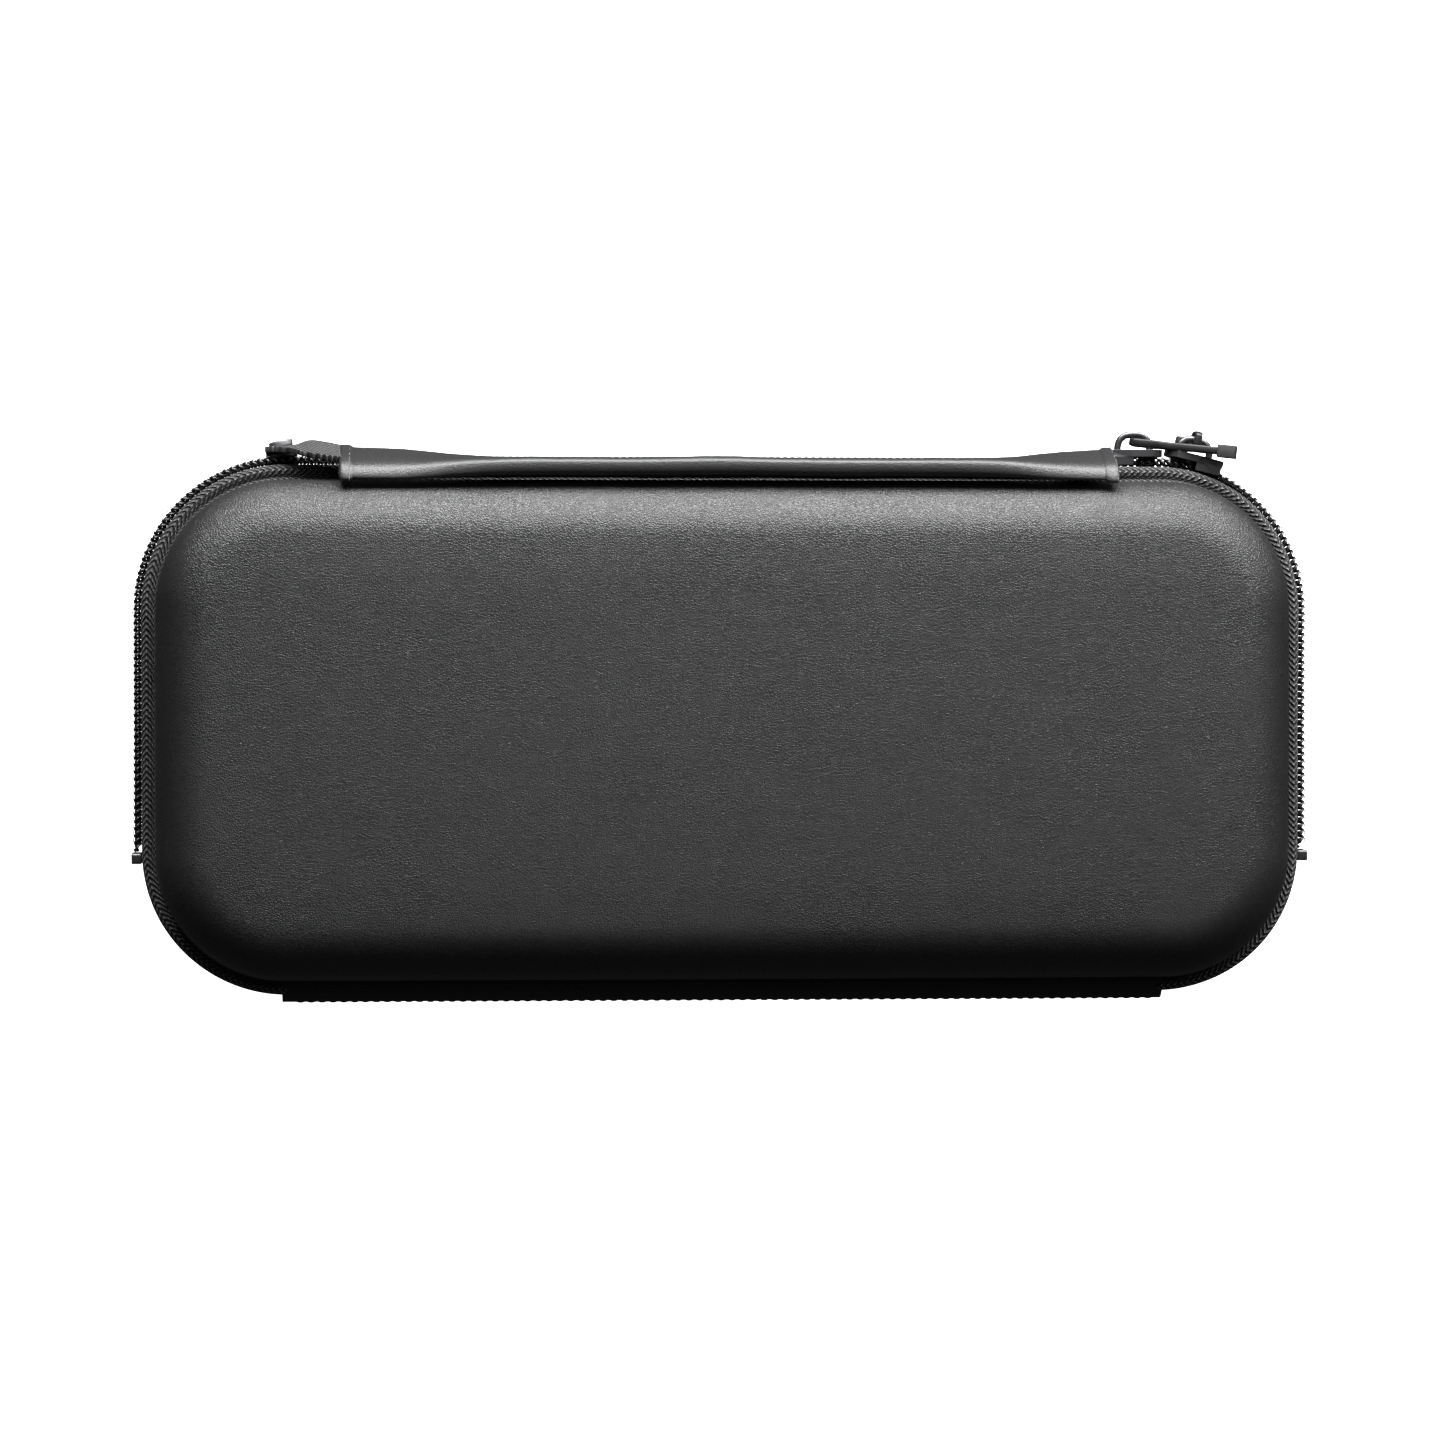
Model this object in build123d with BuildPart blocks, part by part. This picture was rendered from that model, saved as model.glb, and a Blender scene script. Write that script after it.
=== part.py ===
from build123d import *
import math
import os

# Hard zip case for headphones. Millimetres, +Z up, the case lying on its base shell.
# Origin: centre of the flat underside. -Y is the handle side, +Y the hinge side.

# ---- driving dimensions ----
length = 230.4          # shell, along X
width = 101.4           # shell, along Y
corner_r = 26.2         # shell corner in plan
height = 42.0           # over both shells
band_half = 6.0         # from the middle plane to each shell rim
edge_r = 12.0           # rounded edge of each shell's face
skin_t = 0.9
core_t = 3.1
lining_t = 0.6
crest = 4.8             # how far the zip stands out from the shell wall
tape_t = 0.7
tape_bend = 4.4         # height above the middle plane at which the tape turns in
slot_half = 0.7         # free slot between the two coils, in which the slider's post runs
coil_half = 2.9
coil_t = 1.6
plate_out = 5.15        # slider's outer plate, from the shell wall
plate_t = 1.45
bridge_top = 10.35
bridge_bar = 1.15
bridge_half = 0.85
slider_a_x = -84.6
slider_b_turn = 14.0    # degrees round the corner
lean = 18.5             # sideways lean of the first pull
tilt = 3.0              # slope of the first pull towards the case
hang = 1.75             # crossbar of the hanging pull, above the bridge bar
grip_t = 4.0            # handle strap
grip_w = 11.0
grip_end = 78.1         # sleeve end on the rivet side
grip_far_end = -80.8    # sleeve end on the slider side
pivot_out = 6.2
pivot_z = 21.6

mid_z = height / 2
shell_depth = mid_z - band_half
wall_t = skin_t + core_t + lining_t
half_l = length / 2
half_w = width / 2
turn_x = half_l - corner_r
turn_y = half_w - corner_r
middle = Plane.XY.offset(mid_z)

os.makedirs("parts", exist_ok=True)


def save(part, name):
    """Label a finished piece and write it as its own node."""
    part.label = name
    export_step(part, f"parts/{name}.step")


def both_halves(piece, name):
    """Write a lid piece and its mirror image in the base."""
    save(piece, f"lid_{name}")
    save(mirror(piece, about=middle), f"base_{name}")


# ---- shells: skin, foam core and lining, one inside the other ----
def dome(depth):
    """The solid lid outline, offset inwards by a depth, standing on the rim plane."""
    with BuildPart() as block:
        with BuildSketch(Plane.XY.offset(mid_z + band_half)):
            RectangleRounded(length - 2 * depth, width - 2 * depth, corner_r - depth)
        extrude(amount=shell_depth - depth)
        fillet(block.edges().group_by(Axis.Z)[-1], edge_r - depth)
    return block.part


def shell_layer(outside, inside):
    """One layer of the lid shell, between two depths measured in from its outer face."""
    outer = dome(outside)
    inner = dome(inside)
    with BuildPart() as layer:
        add(outer)
        add(inner, mode=Mode.SUBTRACT)
    return layer.part


both_halves(shell_layer(0, skin_t), "skin")
both_halves(shell_layer(skin_t, skin_t + core_t), "core")
both_halves(shell_layer(skin_t + core_t, wall_t), "lining")

# ---- zip band: the tape and coil run round three sides, from hinge corner to hinge corner ----
with BuildLine() as zip_track:
    right = Line((half_l, turn_y), (half_l, -turn_y))
    front_right = TangentArc(right @ 1, (turn_x, -half_w), tangent=right % 1)
    front = Line(front_right @ 1, (-turn_x, -half_w))
    front_left = TangentArc(front @ 1, (-half_l, -turn_y), tangent=front % 1)
    left = Line(front_left @ 1, (-half_l, turn_y))
with BuildLine() as tape_track:
    back_right = TangentArc((turn_x, half_w), (half_l, turn_y), tangent=(1, 0))
    add(zip_track.line)
    back_left = TangentArc(left @ 1, (-turn_x, half_w), tangent=left % 1)
with BuildLine() as spine_track:
    Line((-turn_x, half_w), (turn_x, half_w))


def start_plane(track):
    """Section plane at a track's start: local x runs inwards, local y is +Z."""
    wire = track.wires()[0]
    tangent = wire % 0
    inwards = tangent.cross(Vector(0, 0, 1))
    if inwards.dot(Vector(0, 0, 0) - wire @ 0) < 0:
        inwards = -inwards
    across = inwards.cross(Vector(0, 0, 1))
    return Plane(origin=(wire @ 0) + Vector(0, 0, mid_z), x_dir=inwards, z_dir=across)


def band_strip(track, thickness, *points):
    """A strip of tape, its section's middle line given as (in from the wall, up) points."""
    with BuildPart() as strip:
        with BuildSketch(start_plane(track)):
            with BuildLine():
                middle_line = Polyline(*points)
                offset(middle_line, amount=thickness / 2, side=Side.BOTH, kind=Kind.INTERSECTION)
            make_face()
        sweep(path=track.wires()[0].moved(Location((0, 0, mid_z))))
    return strip.part


tape_in = crest - coil_t - tape_t / 2
tape_rise = band_half - tape_t / 2
both_halves(
    band_strip(
        tape_track, tape_t,
        (wall_t - tape_t / 2, tape_rise), (-0.3, tape_rise),
        (-tape_in, tape_bend), (-tape_in, slot_half + tape_t / 2),
    ),
    "zip_tape",
)
coil_mid = crest - coil_t / 2
both_halves(
    band_strip(
        zip_track, coil_t,
        (-coil_mid, coil_half - coil_t / 2), (-coil_mid, slot_half + coil_t / 2),
    ),
    "zip_coil",
)

# ---- end stops that close each coil where it meets the hinge corner ----
with BuildPart() as end_stops:
    for side in (-1, 1):
        outer_face = Plane(origin=(side * (half_l + crest), turn_y + 1.6, mid_z), z_dir=(side, 0, 0))
        with BuildSketch(outer_face.offset(-coil_t)):
            with Locations(outer_face.to_local_coords(
                Vector(side * (half_l + crest), turn_y + 1.6, mid_z + (slot_half + coil_half) / 2)
            )):
                RectangleRounded(3.0, coil_half - slot_half, 0.5)
        extrude(amount=coil_t + 0.4)
both_halves(end_stops.part, "end_stops")

# ---- hinge strip along the back, and the narrow lining strip behind it ----
fold_gap = 0.15
spine_t = 0.9
spine_lining_t = 0.6
spine_rise = band_half - spine_t / 2
both_halves(
    band_strip(
        spine_track, spine_t,
        (wall_t - spine_t / 2, spine_rise), (-0.3, spine_rise),
        (-crest + spine_t / 2, 2.6), (-crest + spine_t / 2, fold_gap + spine_t / 2),
    ),
    "spine_strip",
)
both_halves(
    band_strip(
        spine_track, spine_lining_t,
        (wall_t - spine_lining_t / 2, spine_rise - 0.9), (0.3, spine_rise - 0.9),
        (-crest + 1.6, 1.9), (-crest + 1.6, fold_gap + spine_lining_t / 2),
    ),
    "spine_lining",
)

# ---- binding that covers the sewn edge inside each rim ----
binding_foot = 4.7
binding_w = 4.2
with BuildPart() as binding:
    with BuildSketch(Plane.XY.offset(mid_z + binding_foot)):
        RectangleRounded(length - 2 * wall_t, width - 2 * wall_t, corner_r - wall_t)
        RectangleRounded(
            length - 2 * wall_t - 1.4, width - 2 * wall_t - 1.4, corner_r - wall_t - 0.7, mode=Mode.SUBTRACT
        )
    extrude(amount=binding_w)
both_halves(binding.part, "binding")

# ---- net pocket under the lid: net, elastic mouth and sewn edging ----
pocket_l = 190.0
pocket_w = 68.0
pocket_r = 15.0
edging_w = 7.0
ceiling = height - wall_t
net_t = 0.8
with BuildPart() as mesh_pocket:
    with BuildSketch(Plane.XY.offset(ceiling - 1.2 - net_t)):
        RectangleRounded(pocket_l - 2 * edging_w, pocket_w - 2 * edging_w, pocket_r - edging_w)
    extrude(amount=net_t)
save(mesh_pocket.part, "mesh_pocket")

mouth_y = -pocket_w / 2 + edging_w
with BuildPart() as pocket_edging:
    with BuildSketch(Plane.XY.offset(ceiling - 2.0)):
        RectangleRounded(pocket_l, pocket_w, pocket_r)
        RectangleRounded(
            pocket_l - 2 * edging_w, pocket_w - 2 * edging_w, pocket_r - edging_w, mode=Mode.SUBTRACT
        )
        with Locations((0, mouth_y - pocket_w / 2)):
            Rectangle(pocket_l - 2 * pocket_r, pocket_w, mode=Mode.SUBTRACT)
    extrude(amount=2.0)
save(pocket_edging.part, "pocket_edging")

with BuildPart() as pocket_elastic:
    with BuildSketch(Plane.XY.offset(ceiling - 2.0)):
        with Locations((0, mouth_y - edging_w / 2)):
            Rectangle(pocket_l - 2 * pocket_r, edging_w)
    extrude(amount=1.4)
save(pocket_elastic.part, "pocket_elastic")


# ---- handle: a flat strap carried on edge, turned a little flatter at both ends ----
def strap_plane(x, out, up, twist):
    """Section plane of the strap: local x is its thickness, local y its width."""
    a = math.radians(twist)
    return Plane(
        origin=(x, -half_w - out, up), x_dir=(0, -math.cos(a), math.sin(a)), z_dir=(-1, 0, 0)
    )


mid_out = 0.35 + grip_t / 2
strap_planes = [
    strap_plane(grip_end, 3.1, 32.6, 22),
    strap_plane(grip_end - 14, 2.9, 32.6, 20),
    strap_plane(grip_end - 29, mid_out, 33, 0),
    strap_plane(grip_far_end + 23, mid_out, 33, 0),
    strap_plane(grip_far_end + 10, 2.9, 32.6, 20),
    strap_plane(grip_far_end, 3.1, 32.6, 22),
]
sleeve_t = 0.8
web_t = 1.2
web_w = 8.0


def strap_body(planes, thickness, breadth, rounding):
    """A solid strap through the given section planes."""
    with BuildPart() as body:
        for plane in planes:
            with BuildSketch(plane):
                RectangleRounded(thickness, breadth, rounding)
        loft(ruled=True)
    return body.part


sleeve_outer = strap_body(strap_planes, grip_t, grip_w, 1.9)
sleeve_bore = strap_body(strap_planes, grip_t - 2 * sleeve_t, grip_w - 2 * sleeve_t, 1.1)
web_core = strap_body(strap_planes, web_t, web_w, 0.5)

with BuildPart() as handle_sleeve:
    add(sleeve_outer)
    add(sleeve_bore, mode=Mode.SUBTRACT)
save(handle_sleeve.part, "handle_sleeve")

with BuildPart() as handle_filler:
    add(sleeve_bore)
    add(web_core, mode=Mode.SUBTRACT)
save(handle_filler.part, "handle_filler")

# the webbing leaves each sleeve end and drops outside the zip to its tab
tail_w = 8.0
near_tab_x = 90.0
far_tab_x = -73.0
near_tail = strap_body(
    [strap_planes[0], strap_plane(84, 5.4, 29.5, 18), strap_plane(near_tab_x - 1, pivot_out, 26.5, 12)],
    web_t, web_w, 0.5,
)


def tab_plane(x):
    """Plane across the zip band at x: local x is outwards from the wall, local y is up."""
    return Plane(origin=(x, -half_w, 0), x_dir=(0, -1, 0), z_dir=(-1, 0, 0))


def webbing_strip(x, points):
    """A strip of webbing bent along (out, up) points and centred on x."""
    with BuildPart() as strip:
        with BuildSketch(tab_plane(x)):
            with BuildLine():
                bend_line = Polyline(*points)
                offset(bend_line, amount=web_t / 2, side=Side.BOTH, kind=Kind.INTERSECTION)
            make_face()
        extrude(amount=tail_w / 2, both=True)
    return strip.part


tail_foot = pivot_z + web_t / 2 + 0.15
near_drop = webbing_strip(near_tab_x, [(pivot_out, tail_foot), (pivot_out, 29.0)])
far_drop = webbing_strip(far_tab_x, [(pivot_out, tail_foot), (pivot_out, 27.2), (3.3, 29.0)])
with BuildPart() as handle_webbing:
    add(web_core)
    add(near_tail)
    add(near_drop)
save(handle_webbing.part, "handle_webbing")
with BuildPart() as handle_far_tail:
    add(far_drop)
    add(sleeve_outer, mode=Mode.SUBTRACT)
save(handle_far_tail.part, "handle_far_tail")

# folded hems at the sleeve's ends
hem_l = 2.8
with BuildPart() as handle_hems:
    for index, step in ((0, -hem_l), (-1, hem_l)):
        face = strap_planes[index]
        start = Plane(origin=face.origin, x_dir=face.x_dir, z_dir=(math.copysign(1, step), 0, 0))
        with BuildSketch(start):
            RectangleRounded(grip_t + 1.0, grip_w + 1.0, 2.3)
        extrude(amount=hem_l)
    add(sleeve_outer, mode=Mode.SUBTRACT)
    add(sleeve_bore, mode=Mode.SUBTRACT)
save(handle_hems.part, "handle_hems")

# anchor tabs sewn into the base's seam; the near one is riveted to the strap and the far one is sewn to it
tab_head = pivot_z - web_t / 2 - 0.15
tab_points = [(0.65, 11.0), (0.65, 14.2), (4.0, 15.5), (pivot_out, 17.2), (pivot_out, tab_head)]
near_tab = webbing_strip(near_tab_x, tab_points)
far_tab = webbing_strip(far_tab_x, tab_points)
rivet_z = 19.2
rivet_r = 0.9
cap_r = 2.35
cap_back = 4.95
cap_t = 1.1
with BuildPart() as handle_rivet:
    rivet_face = Plane(origin=(near_tab_x, -half_w, rivet_z), z_dir=(0, -1, 0))
    with BuildSketch(rivet_face.offset(cap_back)):
        Circle(cap_r)
    extrude(amount=pivot_out - web_t / 2 - cap_back)
    with BuildSketch(rivet_face.offset(pivot_out + web_t / 2)):
        Circle(cap_r)
    extrude(amount=cap_t)
    with BuildSketch(rivet_face.offset(cap_back)):
        Circle(rivet_r)
    extrude(amount=pivot_out + web_t / 2 - cap_back)
    fillet(handle_rivet.faces().sort_by(Axis.Y)[0].edges(), 0.5)
save(handle_rivet.part, "handle_rivet")
with BuildPart() as anchor_tabs:
    add(near_tab)
    add(far_tab)
    add(handle_rivet.part, mode=Mode.SUBTRACT)
save(anchor_tabs.part, "anchor_tabs")


# ---- sliders: two plates joined by a post between the coils, side lips and a bridge ----
def slider_seat(x, y, turn):
    """Seat on the shell wall: local x is the slider's nose, z is outwards."""
    a = math.radians(turn)
    if turn:
        return Plane(
            origin=(x, y, mid_z), x_dir=(math.cos(a), -math.sin(a), 0), z_dir=(-math.sin(a), -math.cos(a), 0)
        )
    return Plane(origin=(x, y, mid_z), x_dir=(-1, 0, 0), z_dir=(0, -1, 0))


bridge_reach = 3.8
window_half = bridge_reach - bridge_bar
window_top = bridge_top - bridge_bar
plate_top = plate_out + plate_t


def slider_body(seat):
    """A slider on its seat."""
    side = Plane(origin=seat.origin, x_dir=seat.x_dir, z_dir=seat.y_dir * -1)
    with BuildPart() as body:
        with BuildSketch(seat.offset(plate_out)):
            with BuildLine():
                Polyline(
                    (-6.2, -3.4), (-6.2, 3.4), (-1.0, 4.2), (3.6, 4.2), (5.6, 2.6),
                    (5.6, -2.6), (3.6, -4.2), (-1.0, -4.2), close=True,
                )
            make_face()
            fillet(vertices(), 0.8)
        extrude(amount=plate_t)
        with BuildSketch(seat.offset(0.5)):
            with Locations((-0.8, 0)):
                RectangleRounded(10.4, 7.2, 1.5)
        extrude(amount=1.0)
        with BuildSketch(seat.offset(0.6)):
            with Locations((2.6, 0)):
                SlotOverall(3.4, 1.0)
        extrude(amount=plate_out - 0.5)
        with BuildSketch(seat.offset(3.5)):
            with Locations((-3.2, 3.6), (-3.2, -3.6)):
                Rectangle(5.2, 0.8)
        extrude(amount=plate_out - 3.4)
        with BuildSketch(side):
            with BuildLine():
                Polyline(
                    (-bridge_reach, plate_top - 0.1), (-bridge_reach + 0.5, bridge_top),
                    (bridge_reach - 0.5, bridge_top), (bridge_reach, plate_top - 0.1), close=True,
                )
            make_face()
            with BuildLine():
                Polyline(
                    (-window_half, plate_top), (-window_half + 0.3, window_top),
                    (window_half - 0.3, window_top), (window_half, plate_top), close=True,
                )
            make_face(mode=Mode.SUBTRACT)
        extrude(amount=bridge_half, both=True)
    return body.part


turn_b = math.radians(slider_b_turn)
seat_a = slider_seat(slider_a_x, -half_w, 0)
seat_b = slider_seat(
    -turn_x - corner_r * math.sin(turn_b), -turn_y - corner_r * math.cos(turn_b), slider_b_turn
)
save(slider_body(seat_a), "slider_a")
save(slider_body(seat_b), "slider_b")


# ---- pulls: a stamped ring and arm, and a moulded tip ----
pull_t = 1.1
arm_half = 1.0
arm_end = 19.6
tip_start = 17.6
tip_end = 21.4


def pull_plate(lie):
    """The ring and arm, from the crossbar along local x."""
    with BuildPart() as plate:
        with BuildSketch(lie.offset(-pull_t / 2)):
            with Locations((2.45, 0)):
                RectangleRounded(5.9, 5.5, 1.6)
            with BuildLine():
                Polyline(
                    (4.6, -2.2), (8.0, -arm_half), (arm_end, -arm_half),
                    (arm_end, arm_half), (8.0, arm_half), (4.6, 2.2), close=True,
                )
            make_face()
            with Locations((2.45, 0)):
                RectangleRounded(3.9, 4.0, 0.9, mode=Mode.SUBTRACT)
        extrude(amount=pull_t)
    return plate.part


def pull_tip(lie, plate):
    """The moulded tip over the arm's end."""
    with BuildPart() as tip:
        with BuildSketch(lie.offset(-1.3)):
            with Locations(((tip_start + tip_end) / 2, 0)):
                RectangleRounded(tip_end - tip_start, 2.9, 0.4)
        extrude(amount=2.6)
        add(plate, mode=Mode.SUBTRACT)
    return tip.part


ta = math.radians(tilt)
la = math.radians(lean)
eye_out = 8.2
lie_a = Plane(
    origin=(slider_a_x, -half_w - eye_out, mid_z),
    x_dir=(-math.cos(la) * math.cos(ta), math.cos(la) * math.sin(ta), math.sin(la)),
    z_dir=(-math.sin(ta), -math.cos(ta), 0),
)
bar_out = bridge_top - bridge_bar / 2
bar_b = seat_b.offset(bar_out).origin
lie_b = Plane(origin=bar_b + Vector(0, 0, hang), x_dir=(0, 0, -1), z_dir=seat_b.x_dir)
for letter, lie in (("a", lie_a), ("b", lie_b)):
    plate = pull_plate(lie)
    save(plate, f"pull_{letter}_plate")
    save(pull_tip(lie, plate), f"pull_{letter}_tip")
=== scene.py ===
import math

import bmesh
import bpy
from mathutils import Matrix, Vector


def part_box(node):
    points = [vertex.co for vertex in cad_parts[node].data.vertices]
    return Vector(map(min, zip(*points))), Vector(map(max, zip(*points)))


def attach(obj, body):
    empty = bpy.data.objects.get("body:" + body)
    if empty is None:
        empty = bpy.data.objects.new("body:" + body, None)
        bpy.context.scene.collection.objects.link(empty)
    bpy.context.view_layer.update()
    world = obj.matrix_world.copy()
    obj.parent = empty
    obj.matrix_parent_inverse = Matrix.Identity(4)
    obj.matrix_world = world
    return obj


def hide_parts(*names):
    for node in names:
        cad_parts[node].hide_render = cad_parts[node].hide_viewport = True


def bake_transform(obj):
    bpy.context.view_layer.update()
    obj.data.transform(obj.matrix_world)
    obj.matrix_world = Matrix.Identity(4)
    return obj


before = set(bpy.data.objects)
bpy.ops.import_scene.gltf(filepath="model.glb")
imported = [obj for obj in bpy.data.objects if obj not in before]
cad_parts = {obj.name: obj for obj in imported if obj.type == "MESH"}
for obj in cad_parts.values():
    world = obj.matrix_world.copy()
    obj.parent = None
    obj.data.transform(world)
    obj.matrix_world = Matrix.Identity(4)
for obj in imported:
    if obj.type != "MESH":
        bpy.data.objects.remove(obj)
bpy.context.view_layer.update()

bl_info = {
    "name": "Headphone Case",
    "version": (1, 0, 0),
    "blender": (4, 5, 0),
    "location": "View3D > Sidebar > Headphone Case",
    "description": "Builds the leather, zip, strap and lining of a hard headphone case",
    "category": "Object",
}

MM = 0.001
LID_LO, LID_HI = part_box("lid_skin")
BASE_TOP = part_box("base_skin")[1].z
TURN_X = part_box("lid_spine_strip")[1].x
HALF_L = LID_HI.x
HALF_W = LID_HI.y
CORNER_R = HALF_L - TURN_X
TURN_Y = HALF_W - CORNER_R
MID_Z = (LID_LO.z + BASE_TOP) / 2


# ---------------------------------------------------------------- settings
class CaseSettings(bpy.types.PropertyGroup):
    """Sizes and colours of the case."""

    edge_radius: bpy.props.FloatProperty(
        name="Edge radius", description="Rounding of each shell's face", default=12 * MM, unit="LENGTH"
    )
    skin: bpy.props.FloatProperty(
        name="Skin thickness", description="Leather over the foam", default=0.9 * MM, unit="LENGTH"
    )
    zip_pitch: bpy.props.FloatProperty(
        name="Zip pitch", description="Length of one coil loop", default=1.44 * MM, unit="LENGTH"
    )
    wire: bpy.props.FloatProperty(
        name="Coil wire", description="Radius of the nylon wire", default=0.32 * MM, unit="LENGTH"
    )
    web_thick: bpy.props.FloatProperty(
        name="Webbing thickness", description="Ribbed webbing", default=1.2 * MM, unit="LENGTH"
    )
    leather: bpy.props.FloatVectorProperty(
        name="Leather", description="Colour of the shell skin", subtype="COLOR",
        default=(0.013, 0.013, 0.0135),
    )
    tape: bpy.props.FloatVectorProperty(
        name="Tape", description="Colour of the zip tape", default=(0.02, 0.02, 0.021), subtype="COLOR"
    )
    metal: bpy.props.FloatVectorProperty(
        name="Hardware", description="Colour of sliders and stops", subtype="COLOR",
        default=(0.07, 0.07, 0.073),
    )


def settings():
    return bpy.context.scene.case_settings


# ---------------------------------------------------------------- shader groups
def new_group(name, inputs):
    """An empty shader node group that puts out a height and a colour value, which holds painted light in the
    grain, weave and cloth groups; inputs are (name, type, default).
    """
    group = bpy.data.node_groups.new(name, "ShaderNodeTree")
    for label, kind, default in inputs:
        made = group.interface.new_socket(label, in_out="INPUT", socket_type=kind)
        if default is not None:
            made.default_value = default
    for label in ("Height", "Tone and painted light"):
        group.interface.new_socket(label, in_out="OUTPUT", socket_type="NodeSocketFloat")
    start = group.nodes.new("NodeGroupInput")
    end = group.nodes.new("NodeGroupOutput")
    return group, start, end


def math_node(tree, operation, first, second=None, third=None):
    """A Math node; each operand is a socket or a number."""
    node = tree.nodes.new("ShaderNodeMath")
    node.operation = operation
    for slot, value in enumerate((first, second, third)):
        if value is None:
            continue
        if isinstance(value, (int, float)):
            node.inputs[slot].default_value = value
        else:
            tree.links.new(value, node.inputs[slot])
    return node.outputs[0]


def textured(tree, kind, vector, scale, **values):
    """A procedural texture node with its scale and inputs set."""
    node = tree.nodes.new(kind)
    for name, value in values.items():
        if name in ("feature", "noise_dimensions", "voronoi_dimensions"):
            setattr(node, name, value)
        else:
            node.inputs[name.replace("_", " ")].default_value = value
    if vector is not None:
        tree.links.new(vector, node.inputs["Vector"])
    if isinstance(scale, (int, float)):
        node.inputs["Scale"].default_value = scale
    else:
        tree.links.new(scale, node.inputs["Scale"])
    return node


def noise(tree, vector, scale, detail):
    """A noise texture at a scale, by number or by socket."""
    return textured(tree, "ShaderNodeTexNoise", vector, scale, Detail=detail)


def mixed(tree, first, first_share, second, second_share):
    """The sum of two values, each taken at its own share."""
    added = math_node(tree, "MULTIPLY", second, second_share)
    return math_node(tree, "MULTIPLY_ADD", first, first_share, added)


def grain_group():
    """Pebbled leather: small closed cells with creases between, over soft unevenness."""
    group, start, end = new_group(
        "Leather grain",
        [("Vector", "NodeSocketVector", None), ("Cells per metre", "NodeSocketFloat", 1500.0)],
    )
    vector, cells = start.outputs[0], start.outputs[1]
    warp = noise(group, vector, math_node(group, "MULTIPLY", cells, 0.6), 2.0)
    shift = group.nodes.new("ShaderNodeVectorMath")
    shift.operation = "MULTIPLY_ADD"
    group.links.new(warp.outputs["Color"], shift.inputs[0])
    shift.inputs[1].default_value = (0.0004, 0.0004, 0.0004)
    group.links.new(vector, shift.inputs[2])
    cell = textured(
        group, "ShaderNodeTexVoronoi", shift.outputs[0], cells, feature="DISTANCE_TO_EDGE", Randomness=1.0
    )
    crease = math_node(group, "MULTIPLY", cell.outputs["Distance"], 4.0)
    crease = math_node(group, "MINIMUM", crease, 1.0)
    fine = noise(group, vector, math_node(group, "MULTIPLY", cells, 2.2), 3.0)
    broad = noise(group, vector, math_node(group, "MULTIPLY", cells, 0.03), 2.0)
    height = math_node(group, "MULTIPLY_ADD", fine.outputs["Fac"], 0.5, crease)
    height = math_node(group, "MULTIPLY_ADD", broad.outputs["Fac"], 1.6, height)
    group.links.new(height, end.inputs["Height"])
    # Colour value: half random broad unevenness, half crease depth, so the creases between cells are painted
    # darker (painted shade).
    group.links.new(mixed(group, broad.outputs["Fac"], 0.5, crease, 0.5), end.inputs["Tone and painted light"])
    return group


def weave_group():
    """Herringbone tape: slanted threads that turn back in narrow bands, read along and across the tape."""
    group, start, end = new_group(
        "Herringbone weave",
        [
            ("Vector", "NodeSocketVector", None),
            ("Pitch", "NodeSocketFloat", 0.0009),
            ("Band", "NodeSocketFloat", 0.0014),
        ],
    )
    split = group.nodes.new("ShaderNodeSeparateXYZ")
    group.links.new(start.outputs["Vector"], split.inputs[0])
    along, across = split.outputs[0], split.outputs[1]
    pitch, band = start.outputs["Pitch"], start.outputs["Band"]
    turned = math_node(group, "PINGPONG", across, band)
    slant = math_node(group, "DIVIDE", math_node(group, "MULTIPLY_ADD", turned, 1.25, along), pitch)
    thread = math_node(group, "SINE", math_node(group, "MULTIPLY", slant, math.tau))
    thread = math_node(group, "MULTIPLY_ADD", thread, 0.5, 0.5)
    cross = math_node(group, "SINE", math_node(group, "MULTIPLY", across, math.tau / 0.0006))
    cross = math_node(group, "MULTIPLY_ADD", cross, 0.2, 0.8)
    height = math_node(group, "MULTIPLY", thread, cross)
    fuzz = noise(group, start.outputs["Vector"], 4200.0, 2.0)
    height = math_node(group, "MULTIPLY_ADD", fuzz.outputs["Fac"], 0.35, height)
    group.links.new(height, end.inputs["Height"])
    # The colour value rises steeply with thread height, so the raised threads are painted lighter: painted
    # highlight on the weave.
    marks_and_painted_highlight = math_node(group, "POWER", math_node(group, "MULTIPLY", height, 0.85), 3.0)
    group.links.new(marks_and_painted_highlight, end.inputs["Tone and painted light"])
    return group


def cloth_group():
    """Brushed or knitted cloth: a fine grid of loops under loose fibres."""
    group, start, end = new_group(
        "Knit cloth",
        [("Vector", "NodeSocketVector", None), ("Loops per metre", "NodeSocketFloat", 900.0)],
    )
    vector, loops = start.outputs[0], start.outputs[1]
    grid = textured(group, "ShaderNodeTexVoronoi", vector, loops, feature="F1", Randomness=0.35)
    fuzz = noise(group, vector, math_node(group, "MULTIPLY", loops, 3.0), 4.0)
    patch = noise(group, vector, math_node(group, "MULTIPLY", loops, 0.02), 2.0)
    height = math_node(group, "MULTIPLY_ADD", fuzz.outputs["Fac"], 0.8, grid.outputs["Distance"])
    group.links.new(height, end.inputs["Height"])
    # The colour value follows the loops' height, so the hollows between loops are painted darker: painted
    # shade, mixed with random patchy colour.
    group.links.new(mixed(group, patch.outputs["Fac"], 0.5, height, 0.5), end.inputs["Tone and painted light"])
    return group


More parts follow.
